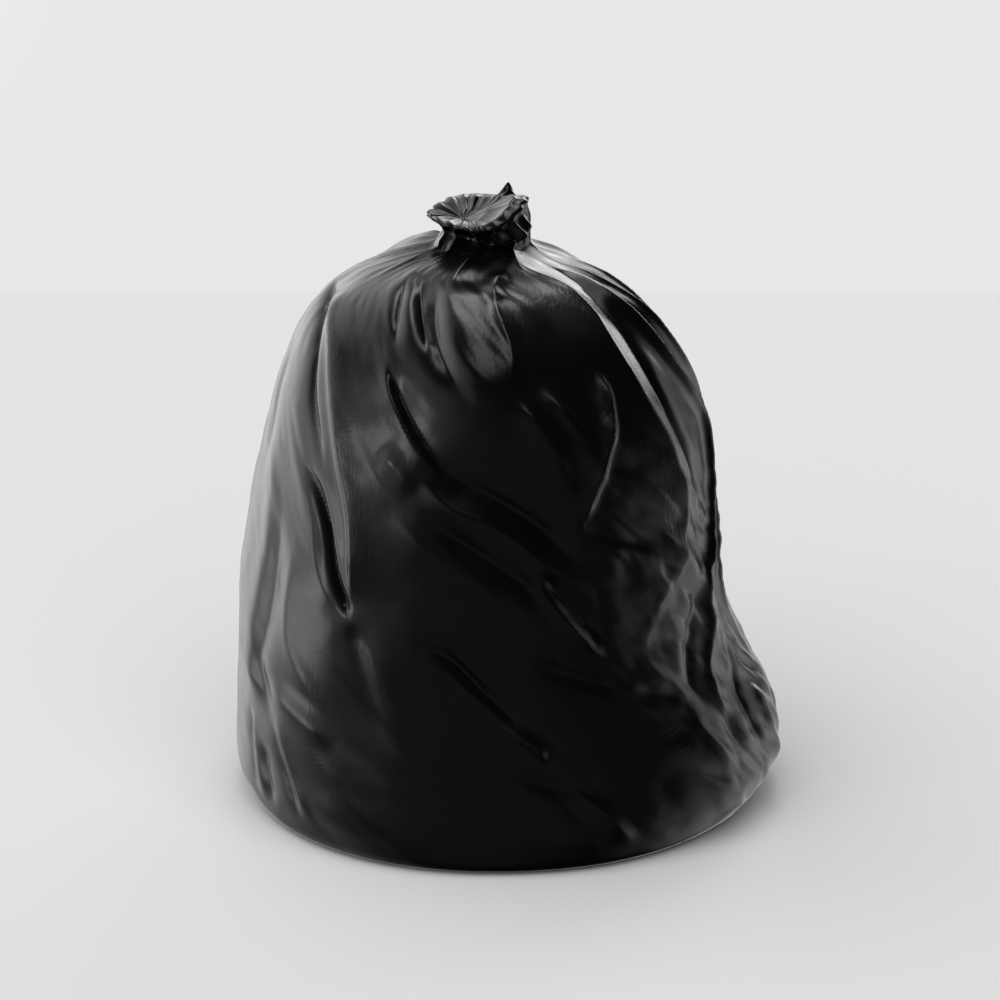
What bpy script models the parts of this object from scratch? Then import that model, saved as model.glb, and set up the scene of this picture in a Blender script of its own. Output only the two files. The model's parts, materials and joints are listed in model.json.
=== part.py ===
"""Full bin bag: a heavy black refuse sack, filled, gathered at the neck and standing on its base.

One closed solid in metres, +Z up. The origin is the middle of the flat base, and the bag's
front faces -Y. A place on the film is given by two numbers: its turn about the bag in degrees
(0 at the front, 90 at the right, -90 at the left, 180 at the back) and its way up the film in
metres, measured from the edge of the base.
"""
import math

import bmesh
import bpy
import numpy as np

OBJECT_NAME = "full_bin_bag"
BAG_NODE = "bin_bag"

# The standing bag at successive heights: (height, reach to the left, right, front and back).
PROFILE = (
    (0.000, 0.232, 0.226, 0.240, 0.237),
    (0.005, 0.250, 0.244, 0.258, 0.252),
    (0.028, 0.262, 0.258, 0.265, 0.260),
    (0.080, 0.266, 0.253, 0.263, 0.260),
    (0.150, 0.264, 0.238, 0.256, 0.257),
    (0.220, 0.261, 0.219, 0.250, 0.252),
    (0.300, 0.246, 0.209, 0.240, 0.243),
    (0.380, 0.231, 0.199, 0.224, 0.226),
    (0.440, 0.214, 0.175, 0.200, 0.203),
    (0.490, 0.189, 0.138, 0.165, 0.168),
    (0.524, 0.153, 0.090, 0.120, 0.126),
    (0.545, 0.105, 0.044, 0.073, 0.078),
    (0.557, 0.066, 0.028, 0.046, 0.048),
)
CORNER_FULLNESS = 0.018     # how much fuller than an ellipse the bag is between its axes

# Lumps of the contents: (turn, way up, spread in turn, spread up, height).
LUMPS = (
    (78, 0.092, 34, 0.060, 0.028),
    (-60, 0.16, 25, 0.06, 0.003),
    (15, 0.50, 32, 0.09, 0.006),
    (150, 0.35, 40, 0.10, 0.008),
    (-150, 0.15, 40, 0.08, 0.008),
    (-170, 0.48, 30, 0.07, -0.006),
)

# Every fold of the film, as a row: its height (below zero for a groove), its half widths to the left
# and right of a route that runs down, how sharp it is (1 as keen as a crease, 2 round), the shares of
# its length over which it rises at the top and falls at the bottom, then its route of (turn, way up).
FOLDS = (
    # the deep pleat on the left shoulder: two slits, and the film lapped over them from the right
    (-.009, .007, .005, 1.3, .15, .40,
     ((-92, .57), (-73, .54), (-60, .50), (-54, .46), (-47, .42), (-41, .38))),
    (.008, .005, .024, 1.3, .15, .15,
     ((-78, .57), (-59, .54), (-50, .51), (-43, .46), (-38, .41), (-33, .36), (-30, .27))),
    (-.010, .005, .005, 1.3, .35, .08, ((-52, .40), (-46, .38), (-41, .35), (-36, .30), (-30, .262))),
    (.002, .014, .006, 1.4, .35, .15, ((-58, .41), (-51, .38), (-46, .35), (-41, .30), (-34, .265))),
    (-.003, .012, .012, 1.6, .15, .50, ((-30, .26), (-27, .21), (-23, .16), (-20, .13))),
    (.002, .010, .016, 1.6, .30, .50, ((-25, .25), (-22, .20), (-18, .15), (-14, .11))),
    # soft folds down the left side
    (.003, .022, .014, 1.7, .30, .30,
     ((-70, .42), (-64, .36), (-62, .30), (-62, .23), (-62, .17), (-60, .12))),
    (-.004, .014, .015, 1.6, .30, .25,
     ((-58, .36), (-57, .31), (-56, .24), (-58, .19), (-55, .15), (-53, .11))),
    (.003, .012, .016, 1.6, .30, .40, ((-50, .33), (-49, .28), (-47, .22), (-40, .18), (-34, .15))),
    (-.003, .012, .008, 1.4, .30, .40, ((-84, .50), (-79, .45), (-74, .40), (-70, .36))),
    (.003, .012, .010, 1.5, .30, .30, ((-76, .22), (-68, .19), (-60, .165), (-56, .15))),
    (.003, .010, .014, 1.6, .30, .30, ((-55, .17), (-48, .16), (-40, .145), (-34, .13))),
    (-.004, .016, .010, 1.5, .30, .30, ((-86, .34), (-84, .26), (-80, .20), (-74, .14))),
    # the fan above the left foot
    (-.003, .008, .008, 1.5, .30, .30, ((-64, .14), (-66, .09), (-64, .04))),
    (.002, .008, .008, 1.5, .30, .30, ((-62, .14), (-62, .08), (-59, .04))),
    (-.003, .008, .008, 1.5, .30, .30, ((-59, .11), (-58, .07), (-56, .04))),
    (-.003, .008, .010, 1.5, .30, .30, ((-54, .14), (-50, .09), (-46, .04))),
    (.003, .008, .008, 1.5, .30, .30, ((-52, .15), (-48, .09), (-42, .04))),
    # short folds below the neck, on the left of the front
    (-.005, .008, .006, 1.5, .40, .40, ((-36, .61), (-31, .58), (-28, .55), (-26, .51))),
    (.004, .008, .007, 1.5, .40, .40, ((-27, .61), (-23, .58), (-20, .55), (-18, .52))),
    (-.009, .009, .008, 1.3, .25, .30,
     ((-38, .54), (-30, .505), (-23, .47), (-17, .445), (-9, .41), (-4, .38))),
    (.009, .010, .006, 1.4, .30, .35, ((-27, .525), (-19, .495), (-12, .46), (-6, .425))),
    (.010, .013, .006, 1.4, .30, .30, ((-38, .505), (-30, .470), (-22, .44), (-15, .405))),
    (.006, .014, .004, 1.5, .40, .40, ((-36, .425), (-28, .40), (-21, .38))),
    # the leaf-shaped panel in the middle, and the curl beside it
    (.003, .030, .024, 4.0, .20, .35, ((-5, .62), (-5, .58), (-3, .54), (1, .50), (4, .465))),
    (.004, .008, .008, 1.6, .30, .30, ((6, .57), (9, .60), (17, .615), (28, .62))),
    # the folds that wind down across the front
    (-.010, .013, .011, 1.4, .30, .30, ((-14, .43), (-6, .40), (4, .38), (14, .355), (24, .31))),
    (.008, .013, .010, 1.4, .30, .35, ((-18, .41), (-8, .375), (6, .35), (18, .31), (30, .28))),
    (-.008, .010, .009, 1.4, .30, .35, ((-16, .37), (-6, .345), (4, .32), (14, .29), (22, .26))),
    (.004, .014, .012, 1.5, .30, .30, ((-24, .37), (-12, .33), (0, .30), (10, .265))),
    (.007, .005, .005, 1.3, .25, .25, ((11, .31), (16, .285), (21, .26), (25, .24), (30, .225))),
    (-.007, .006, .010, 1.4, .30, .25, ((13, .315), (19, .290), (24, .266), (30, .24))),
    (-.006, .009, .007, 1.4, .30, .30, ((12, .232), (18, .216), (25, .202), (32, .19))),
    (-.011, .008, .010, 1.3, .35, .30, ((-16, .25), (-6, .228), (0, .20), (5, .175), (10, .145))),
    (.006, .005, .012, 1.4, .35, .35, ((-8, .22), (1, .185), (6, .163), (13, .135))),
    (.006, .005, .005, 1.4, .40, .25, ((3, .17), (8, .152), (13, .13))),
    (-.005, .009, .009, 1.4, .30, .30, ((4, .125), (10, .11), (18, .098), (24, .08))),
    (.006, .007, .008, 1.3, .30, .35, ((14, .11), (20, .09), (25, .065), (30, .04))),
    (.006, .010, .005, 1.3, .25, .30,
     ((40, .50), (41, .47), (38, .43), (34, .40), (30, .375), (27, .35))),
    (.007, .014, .011, 1.7, .35, .35, ((10, .48), (16, .44), (22, .39))),
    (.007, .012, .010, 1.7, .35, .35, ((18, .49), (25, .44), (31, .385))),
    (-.004, .010, .010, 1.6, .30, .30, ((22, .36), (34, .335), (46, .32))),
    (.004, .010, .010, 1.6, .30, .30, ((26, .34), (40, .315), (52, .29))),
    (-.004, .008, .008, 1.6, .40, .40, ((34, .19), (40, .18), (47, .165))),
    # the bands on the right shoulder, which meet at the waist and fan out over the bulge
    (.014, .036, .022, 1.1, .06, .30,
     ((36, .66), (46, .62), (50, .58), (50, .55), (49, .51), (50, .48), (52, .45), (56, .40),
      (56, .34), (52, .29), (46, .25))),
    (-.006, .005, .008, 1.4, .10, .25,
     ((64, .65), (70, .61), (67, .58), (63, .54), (61, .50), (62, .45), (65, .40), (66, .35),
      (64, .31))),
    (.008, .007, .018, 1.2, .15, .30,
     ((70, .64), (72, .60), (69, .56), (70, .52), (73, .48), (78, .44), (82, .41), (79, .36),
      (69, .30), (63, .26), (64, .20), (68, .15))),
    (-.004, .004, .005, 1.3, .10, .30,
     ((78, .66), (83, .61), (82, .57), (81, .53), (82, .49), (86, .45), (90, .42), (87, .37),
      (76, .31), (69, .26), (72, .20), (78, .15))),
    (.005, .005, .014, 1.2, .10, .30,
     ((83, .66), (88, .61), (88, .56), (87, .51), (90, .46), (95, .41), (92, .36), (82, .30),
      (76, .25), (82, .18), (88, .13))),
    (-.004, .004, .005, 1.3, .10, .30,
     ((96, .66), (100, .60), (100, .55), (98, .50), (100, .45), (104, .40), (99, .33), (89, .27),
      (88, .20), (94, .15))),
    (.004, .005, .012, 1.2, .10, .30,
     ((102, .66), (107, .60), (107, .54), (105, .48), (108, .42), (109, .35), (102, .28), (98, .21),
      (104, .14))),
    (-.005, .008, .010, 1.4, .10, .30,
     ((114, .65), (122, .57), (122, .50), (120, .42), (120, .34), (113, .27), (112, .20))),
    # creases on the bulge
    (.002, .010, .010, 1.6, .30, .30, ((52, .30), (46, .27), (42, .24), (38, .215))),
    (-.004, .008, .010, 1.5, .30, .30, ((58, .27), (56, .23), (52, .20), (50, .16))),
    (.004, .008, .010, 1.5, .30, .30, ((66, .25), (62, .21), (58, .18), (58, .13))),
    (-.004, .007, .008, 1.5, .30, .30, ((72, .21), (69, .17), (66, .13), (68, .08))),
    (.003, .010, .010, 1.5, .30, .30, ((46, .16), (50, .12), (57, .08))),
    (-.004, .010, .010, 1.5, .30, .30, ((56, .14), (60, .10), (68, .06))),
    (.004, .009, .010, 1.5, .30, .30, ((74, .15), (74, .10), (78, .05))),
    (-.004, .008, .008, 1.5, .30, .30, ((84, .13), (84, .09), (82, .05))),
    # the back and the far side, which wind the same way
    (.009, .006, .020, 1.3, .08, .40, ((136, .66), (134, .56), (138, .44), (150, .34))),
    (-.008, .010, .008, 1.4, .10, .40, ((150, .65), (150, .56), (156, .46), (170, .38), (182, .30))),
    (.009, .007, .022, 1.3, .08, .35, ((170, .66), (174, .56), (182, .46), (194, .36), (208, .28))),
    (-.007, .012, .008, 1.4, .10, .40, ((190, .65), (196, .55), (208, .45), (224, .36))),
    (.010, .007, .020, 1.3, .08, .30, ((210, .66), (214, .56), (224, .47), (240, .38), (252, .29))),
    (-.006, .010, .008, 1.4, .10, .40, ((236, .66), (240, .58), (250, .50), (262, .43))),
    (-.007, .014, .010, 1.4, .30, .40, ((130, .30), (146, .22), (166, .15))),
    (.006, .010, .018, 1.5, .30, .40, ((176, .28), (192, .20), (206, .10))),
    (-.006, .012, .009, 1.4, .30, .40, ((216, .27), (228, .19), (236, .08))),
    (-.005, .010, .010, 1.5, .30, .30, ((122, .14), (132, .08), (138, .03))),
    (.005, .010, .010, 1.5, .30, .30, ((160, .12), (166, .04))),
    (-.005, .010, .010, 1.5, .30, .30, ((196, .11), (198, .03))),
    (.005, .010, .010, 1.5, .30, .30, ((244, .16), (250, .09), (252, .03))),
)

SLACK_HEIGHT = 0.0012       # the soft unevenness of the film between its folds
SLACK_WAVES = (             # (waves round the bag, radians per metre up it, phase, share)
    (3, 16, 0.4, 1.0), (5, 24, 1.9, 0.8), (8, 33, 4.0, 0.6), (11, 52, 2.7, 0.4), (7, -20, 5.2, 0.4),
)

NECK_CENTRE = (-0.018, 0.0)
PLEATS = 9                  # broad pleats round the neck
PLEAT_HEIGHT = 0.0034       # their height at the neck
PLEAT_RUN = 0.026           # how far down the shoulder they run

# The gathered top above the neck, ring by ring: heights at the left, right, front and back,
# then the reach to the left, right, front and back from the ring's own centre.
TUFT = (
    (.565, .565, .560, .566, .045, .045, .039, .041),
    (.572, .575, .566, .576, .040, .045, .034, .037),
    (.576, .586, .571, .586, .042, .045, .035, .038),
    (.580, .594, .574, .594, .047, .044, .044, .042),
    (.583, .600, .577, .600, .050, .044, .049, .044),
    (.588, .602, .583, .603, .046, .040, .046, .038),
    (.588, .598, .587, .599, .034, .030, .033, .026),
    (.584, .591, .585, .591, .016, .016, .017, .012),
)
TUFT_DISH = (-0.034, -0.004, 0.582)    # where the folded film meets in the middle
RIM_RING = 3                           # the ring from which the fine pleats take over
TOP_RING = 5                           # the ring at the top of the rim
RIM_PLEATS = (26, 0.0009)              # fine pleats round the rim, their height
SMOOTH_LIP = (-10, 65, 0.85)           # turn and spread of the smooth lip, how smooth it is
LIP_RIDGES = (2.6, 0.0016)             # ridges across the folded lip at the right, their height
FRILL = (32, 30, 0.007, 0.008)         # turn and spread of the hanging frill, its drop and reach
FRILL_TEETH = (24, 0.25)               # waves along the frill's edge, their share of its drop
SPIKE = (139, 11, 0.013)               # turn, half spread and height of the corner that stands up
SPIKE_RINGS = (5.6, 0.8)               # where on the rim it stands, its spread

COLUMNS = 320
ROWS = 164
TRIANGLES = 11800
FLAT_WITHIN = 0.0002        # the base is made exactly flat below this height
BASE_ROWS = 4
TUFT_ROWS = 40
CROWD_SAMPLES = 1440        # samples round the bag that spread the columns
CROWDING = 2.0              # how many more columns there are at a fold
CROWD_SPREAD = 0.05         # radians

FILM_COLOUR = (0.006, 0.006, 0.007, 1.0)
FILM_ROUGHNESS = 0.24


def through(knots, values, at):
    """A smooth curve through values at knots, read at the places given (cubic Hermite)."""
    knots = np.asarray(knots, float)
    values = np.asarray(values, float)
    slopes = np.gradient(values, knots, axis=0)
    i = np.clip(np.searchsorted(knots, at, side="right") - 1, 0, len(knots) - 2)
    span = (knots[i + 1] - knots[i])[..., None]
    t = np.clip((at - knots[i])[..., None] / span, 0, 1)
    return ((2 * t**3 - 3 * t**2 + 1) * values[i] + (t**3 - 2 * t**2 + t) * span * slopes[i]
            + (3 * t**2 - 2 * t**3) * values[i + 1] + (t**3 - t**2) * span * slopes[i + 1])


def distances_along(points):
    """The distance from the first of the points to each, by way of those between."""
    steps = np.linalg.norm(np.diff(points, axis=0), axis=1)
    return np.concatenate(([0.0], np.cumsum(steps)))


PROFILE_ARRAY = np.array(PROFILE)
PROFILE_UP = distances_along(np.c_[PROFILE_ARRAY[:, 0], PROFILE_ARRAY[:, 1:].mean(axis=1)])
NECK_UP = PROFILE_UP[-1]


def ring_point(turn, left, right, front, back):
    """The x and y of a lopsided oval with these reaches, at a turn in radians."""
    fuller = 1 + CORNER_FULLNESS * np.sin(2 * turn) ** 2
    x = (right - left) / 2 + (right + left) / 2 * np.sin(turn) * fuller
    y = (back - front) / 2 - (back + front) / 2 * np.cos(turn) * fuller
    return x, y


def degrees_apart(turn, middle):
    """The signed turn in degrees from middle (degrees) to turn (radians), the short way round."""
    return (np.degrees(turn) - middle + 180) % 360 - 180


def filled_body(turn, up):
    """Points of the filled bag, before its folds, at turns in radians and ways up in metres."""
    height, left, right, front, back = np.moveaxis(through(PROFILE_UP, PROFILE_ARRAY, up), -1, 0)
    x, y = ring_point(turn, left, right, front, back)
    for middle, way_up, turn_spread, up_spread, size in LUMPS:
        swell = size * np.exp(-(degrees_apart(turn, middle) / turn_spread) ** 2
                              - ((up - way_up) / up_spread) ** 2)
        x = x + swell * np.sin(turn)
        y = y - swell * np.cos(turn)
    return np.stack([x, y, height], axis=-1)


def surface_normals(grid):
    """Outward unit normals of a grid of rows going up and columns going round."""
    round_way = np.roll(grid, -1, axis=1) - np.roll(grid, 1, axis=1)
    up_way = np.gradient(grid, axis=0)
    normals = np.cross(round_way, up_way)
    return normals / np.maximum(np.linalg.norm(normals, axis=-1, keepdims=True), 1e-12)


def fold_route(route, count=110):
    """Evenly spread points on the filled body along a fold's route."""
    turns = np.radians([p[0] for p in route])
    ups = np.minimum([p[1] for p in route], NECK_UP - 0.002)
    way = distances_along(np.c_[turns * 0.22, ups])
    if len(route) == 2:
        at = np.linspace(0, 1, count)[:, None]
        track = np.array([turns[0], ups[0]]) * (1 - at) + np.array([turns[1], ups[1]]) * at
    else:
        track = through(way, np.c_[turns, ups], np.linspace(0, way[-1], count))
    return filled_body(track[:, 0], track[:, 1])


def rise_and_fall(share, fade_in, fade_out):
    """0 at a fold's two ends and 1 along its middle."""
    rising = np.clip(share / fade_in, 0, 1)
    falling = np.clip((1 - share) / fade_out, 0, 1)
    return rising**2 * (3 - 2 * rising) * falling**2 * (3 - 2 * falling)


def fold_heights(points, normals, fold):
    """How far out along its normal one fold moves each point."""
    height, left_width, right_width, sharp, fade_in, fade_out, route = fold
    line = fold_route(route)
    reach = 4 * max(left_width, right_width)
    near = np.all((points > line.min(axis=0) - reach) & (points < line.max(axis=0) + reach), axis=1)
    at, outward = points[near], normals[near]
    gaps = ((at[:, None, :] - line[None]) ** 2).sum(axis=-1)
    nearest = gaps.argmin(axis=1)
    tangents = np.gradient(line, axis=0)
    tangents /= np.linalg.norm(tangents, axis=1, keepdims=True)
    along = tangents[nearest]
    across = np.cross(outward, along)
    across /= np.maximum(np.linalg.norm(across, axis=1, keepdims=True), 1e-9)
    offset = at - line[nearest]
    way = distances_along(line)
    share = (way[nearest] + (offset * along).sum(axis=1)) / way[-1]
    distance = (offset * across).sum(axis=1)
    width = np.where(distance < 0, left_width, right_width)
    strength = rise_and_fall(np.clip(share, 0, 1), fade_in, fade_out)
    heights = np.zeros(len(points))
    heights[near] = height * strength * np.exp(-np.abs(distance / width) ** sharp)
    return heights


def neck_pleats(turn):
    """The broad pleats round the neck, from -1 in their grooves to 1 on their crests."""
    wander = 0.9 * np.sin(2 * turn + 0.6) + 0.6 * np.sin(3 * turn + 2.1) + 0.3 * np.sin(7 * turn)
    return 1 - 2 * np.abs(np.sin(PLEATS * turn / 2 + wander)) ** 0.7


def pleats_below_neck(turn, up):
    """Height of the pleats where they run out over the shoulder."""
    below = np.clip(NECK_UP - up, 0, None)
    return PLEAT_HEIGHT * neck_pleats(turn) * np.exp(-(below / PLEAT_RUN))


def slack(turn, up):
    """Height of the soft waves that the film has everywhere."""
    waves = [share * np.sin(round_way * turn + up_way * up + phase)
             for round_way, up_way, phase, share in SLACK_WAVES]
    return SLACK_HEIGHT * sum(waves)


def tuft(turn, share, neck):
    """Points of the gathered top, from the neck's ring of points in over its rim to the dish."""
    rings = np.array(TUFT)
    last = len(rings) + 1
    place = share * last
    ring = np.moveaxis(through(np.arange(1, last), rings, np.clip(place, 1, last - 1)), -1, 0)
    # heights pass from one side's to the next
    left = (1 - np.sin(turn)) / 2
    front = (1 + np.cos(turn)) / 2
    sideways = np.sin(turn) ** 2
    height = (sideways * (left * ring[0] + (1 - left) * ring[1])
              + (1 - sideways) * (front * ring[2] + (1 - front) * ring[3]))
    frill_turn, frill_spread, frill_drop, frill_reach = FRILL
    teeth, tooth_share = FRILL_TEETH
    frill = (np.exp(-(degrees_apart(turn, frill_turn) / frill_spread) ** 4)
             * np.exp(-(place - RIM_RING) ** 2))
    height = height - frill_drop * frill * (1 + tooth_share * np.sin(teeth * turn))
    spike_turn, spike_spread, spike_height = SPIKE
    spike_ring, spike_rings = SPIKE_RINGS
    spike = np.clip(1 - np.abs(degrees_apart(turn, spike_turn)) / spike_spread, 0, 1)
    height = height + spike_height * spike * np.exp(-((place - spike_ring) / spike_rings) ** 2)
    # the pleats run on up to the rim, finer under it, and fade into the dish
    upper = np.clip((place - RIM_RING) / 2, 0, 1)
    inward = np.clip((place - TOP_RING) / (last - TOP_RING), 0, 1)
    lip_turn, lip_spread, lip_smooth = SMOOTH_LIP
    smooth = 1 - lip_smooth * upper * np.exp(-(degrees_apart(turn, lip_turn) / lip_spread) ** 4)
    rim_pleats, rim_height = RIM_PLEATS
    pleats = ((1 - upper) * PLEAT_HEIGHT * neck_pleats(turn)
              + (0.4 + 0.8 * upper * smooth + frill) * rim_height
              * np.sin(rim_pleats * turn + 2 * np.sin(3 * turn)))
    pleats = pleats * (1 - inward)
    x, y = ring_point(turn, *(reach + frill_reach * frill + pleats for reach in ring[4:]))
    x = x + NECK_CENTRE[0] + (TUFT_DISH[0] - NECK_CENTRE[0]) * inward
    y = y + NECK_CENTRE[1] + (TUFT_DISH[1] - NECK_CENTRE[1]) * inward
    # ridges that sweep over the rim's right side
    ridge_count, ridge_height = LIP_RIDGES
    on_top = np.clip(place - TOP_RING, 0, 1) * np.clip((last - place) / 1.5, 0, 1)
    sweep = 1 - 2 * np.abs(np.sin(math.pi * ridge_count * inward + 0.5 * np.cos(turn))) ** 0.8
    height = height + ridge_height * on_top * (1 - left) * sweep
    points = np.stack([x, y, height], axis=-1)
    lower = np.clip(place, 0, 1)[..., None]
    closing = np.clip(place - (last - 1), 0, 1)[..., None]
    points = neck * (1 - lower) + points * lower
    return points * (1 - closing) + np.array(TUFT_DISH) * closing


def column_turns(columns, ups):
    """The turn of every column at each way up: the columns crowd towards the folds."""
    ring = np.linspace(-math.pi, math.pi, CROWD_SAMPLES + 1)
    crowd = np.ones((len(ups), CROWD_SAMPLES + 1))
    for *_, route in FOLDS:
        turns = np.radians([p[0] for p in route])[::-1]
        heights = np.array([p[1] for p in route])[::-1]
        at = np.interp(ups, heights, turns)
        beyond = np.maximum(np.maximum(heights[0] - ups, ups - heights[-1]), 0)
        share = CROWDING * np.exp(-(beyond / 0.03) ** 2) * np.clip((NECK_UP - ups) / 0.15, 0, 1)
        away = (ring[None] - at[:, None] + math.pi) % (2 * math.pi) - math.pi
        crowd += share[:, None] * np.exp(-(away / CROWD_SPREAD) ** 2)
    steps = (crowd[:, 1:] + crowd[:, :-1]) / 2
    total = np.concatenate([np.zeros((len(ups), 1)), np.cumsum(steps, axis=1)], axis=1)
    total /= total[:, -1:]
    wanted = np.arange(columns) / columns
    return np.array([np.interp(wanted, row, ring) for row in total])


def film_grid(columns, rows, base_rows, tuft_rows):
    """The whole film as a grid of rows, from the ring about the base's middle to the dish."""
    up = np.linspace(0, NECK_UP, rows - base_rows - tuft_rows)
    turns = column_turns(columns, up)
    ups = np.repeat(up[:, None], columns, axis=1)
    body = filled_body(turns, ups)
    normals = surface_normals(body)
    points, outward = body.reshape(-1, 3), normals.reshape(-1, 3)
    heights = sum(fold_heights(points, outward, fold) for fold in FOLDS).reshape(ups.shape)
    heights += pleats_below_neck(turns, ups) + slack(turns, ups) * np.clip((NECK_UP - ups) / 0.1, 0, 1)
    lift = np.clip(body[..., 2] / 0.03, 0, 1)
    body = body + normals * (heights * lift)[..., None]
    base = body[0] * np.linspace(0, 1, base_rows + 1)[1:, None, None]
    share = np.linspace(0, 1, tuft_rows + 1)[1:-1]
    tuft_turns = np.repeat(turns[-1:], len(share), axis=0)
    top = tuft(tuft_turns, np.repeat(share[:, None], columns, axis=1), body[-1])
    return np.concatenate([base[:-1], body, top])


def clear_scene():
    for thing in list(bpy.data.objects):
        bpy.data.objects.remove(thing)


def film_material():
    """Glossy black polythene film."""
    material = bpy.data.materials.new("black_polythene")
    material.use_nodes = True
    shader = material.node_tree.nodes["Principled BSDF"]
    shader.inputs["Base Color"].default_value = FILM_COLOUR
    shader.inputs["Roughness"].default_value = FILM_ROUGHNESS
    shader.inputs["Metallic"].default_value = 0.0
    return material


def closed_film_mesh():
    """A UV sphere drawn out to the film: its poles are the base's middle and the tuft's dish."""
    grid = film_grid(COLUMNS, ROWS, BASE_ROWS, TUFT_ROWS)
    ring_count = len(grid)
    shell = bmesh.new()
    bmesh.ops.create_uvsphere(shell, u_segments=COLUMNS, v_segments=ring_count + 1, radius=1)
    for vertex in shell.verts:
        x, y, z = vertex.co
        ring = round((1 - math.acos(max(-1.0, min(1.0, z))) / math.pi) * (ring_count + 1)) - 1
        column = round((math.atan2(y, x) / (2 * math.pi) + 0.5) * COLUMNS) % COLUMNS
        if ring < 0:
            vertex.co = (0, 0, 0)
        elif ring >= ring_count:
            vertex.co = TUFT_DISH
        else:
            vertex.co = grid[ring, column]
    mesh = bpy.data.meshes.new(BAG_NODE)
    shell.to_mesh(mesh)
    shell.free()
    return mesh


def thin_faces(bag):
    """Keeps the faces where the folds bend and leaves few on the smooth film and the flat base."""
    triangles = sum(len(face.vertices) - 2 for face in bag.data.polygons)
    thinner = bag.modifiers.new("fewer_faces", "DECIMATE")
    thinner.ratio = TRIANGLES / triangles
    thinner.use_collapse_triangulate = True
    fine = bag.data
    evaluated = bag.evaluated_get(bpy.context.evaluated_depsgraph_get())
    bag.data = bpy.data.meshes.new_from_object(evaluated)
    bag.modifiers.remove(thinner)
    bpy.data.meshes.remove(fine)
    for vertex in bag.data.vertices:
        if vertex.co.z < FLAT_WITHIN:
            vertex.co.z = 0.0


def build_bag():
    collection = bpy.data.collections.new(OBJECT_NAME)
    bpy.context.scene.collection.children.link(collection)
    bag = bpy.data.objects.new(BAG_NODE, closed_film_mesh())
    collection.objects.link(bag)
    thin_faces(bag)
    bag.data.name = BAG_NODE
    bag.data.materials.append(film_material())
    bag.data.shade_smooth()
    return bag


def main():
    clear_scene()
    build_bag()


if __name__ == "__main__":
    main()
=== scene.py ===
import json
import math

import bpy
import numpy as np
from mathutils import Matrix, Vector, noise

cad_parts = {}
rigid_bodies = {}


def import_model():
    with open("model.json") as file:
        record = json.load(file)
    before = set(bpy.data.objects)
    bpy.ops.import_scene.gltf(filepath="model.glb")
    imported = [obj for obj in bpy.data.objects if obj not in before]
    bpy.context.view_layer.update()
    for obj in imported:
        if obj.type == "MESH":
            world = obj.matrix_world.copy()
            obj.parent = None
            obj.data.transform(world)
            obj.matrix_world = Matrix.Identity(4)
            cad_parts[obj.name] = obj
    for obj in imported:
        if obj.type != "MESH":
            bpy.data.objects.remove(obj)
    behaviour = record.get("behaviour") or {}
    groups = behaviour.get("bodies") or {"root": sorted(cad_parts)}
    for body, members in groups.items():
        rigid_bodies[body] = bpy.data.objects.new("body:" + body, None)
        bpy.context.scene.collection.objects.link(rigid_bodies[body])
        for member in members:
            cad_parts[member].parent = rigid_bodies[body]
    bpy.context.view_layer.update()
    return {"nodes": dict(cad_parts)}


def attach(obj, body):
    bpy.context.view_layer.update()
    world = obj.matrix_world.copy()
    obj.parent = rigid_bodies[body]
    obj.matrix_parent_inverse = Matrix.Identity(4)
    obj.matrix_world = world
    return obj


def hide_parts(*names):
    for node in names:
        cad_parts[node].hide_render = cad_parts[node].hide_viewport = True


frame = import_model()
print("frame loaded:", ", ".join(frame["nodes"]))

for thing in list(bpy.data.objects):  # an empty factory scene may still hold a default lamp
    if thing.type in {"LIGHT", "CAMERA"}:
        bpy.data.objects.remove(thing)


# a place on the film is a turn about the bag, 0 at the front and 90 degrees at the right (degrees
# in the tables, radians in the functions), and a way up the film from the edge of the base, in
# metres like all lengths

sack = {
    "columns": 448, "rows": 222, "baseRows": 3, "tuftRows": 56,
    # height, then the reach to the left, right, front and back
    "profile": (
        (0.000, 0.232, 0.226, 0.240, 0.237), (0.005, 0.250, 0.244, 0.258, 0.252),
        (0.028, 0.262, 0.258, 0.265, 0.260), (0.080, 0.266, 0.253, 0.263, 0.260),
        (0.150, 0.264, 0.238, 0.256, 0.257), (0.220, 0.261, 0.219, 0.250, 0.252),
        (0.300, 0.246, 0.209, 0.240, 0.243), (0.380, 0.231, 0.199, 0.224, 0.226),
        (0.440, 0.214, 0.175, 0.200, 0.203), (0.490, 0.189, 0.138, 0.165, 0.168),
        (0.524, 0.153, 0.090, 0.120, 0.126), (0.545, 0.105, 0.044, 0.073, 0.078),
        (0.557, 0.066, 0.028, 0.046, 0.048)),
    "cornerFullness": 0.018,
    # turn, way up, spread in turn, spread up, height
    "lumps": (
        (78, 0.092, 34, 0.060, 0.028), (-60, 0.16, 25, 0.06, 0.003),
        (15, 0.50, 32, 0.09, 0.006), (150, 0.35, 40, 0.10, 0.008),
        (-150, 0.15, 40, 0.08, 0.008), (-170, 0.48, 30, 0.07, -0.006)),
    # waves round the bag, radians per metre up it, phase, share
    "slackHeight": 0.0012,
    "slackWaves": ((3, 16, 0.4, 1.0), (5, 24, 1.9, 0.8), (8, 33, 4.0, 0.6),
                   (11, 52, 2.7, 0.4), (7, -20, 5.2, 0.4)),
    # over what way below the neck the slack and the facets grow to their full height, and over
    # what height above the floor all folds do
    "neckFade": 0.1, "footFade": 0.03,
}


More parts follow.
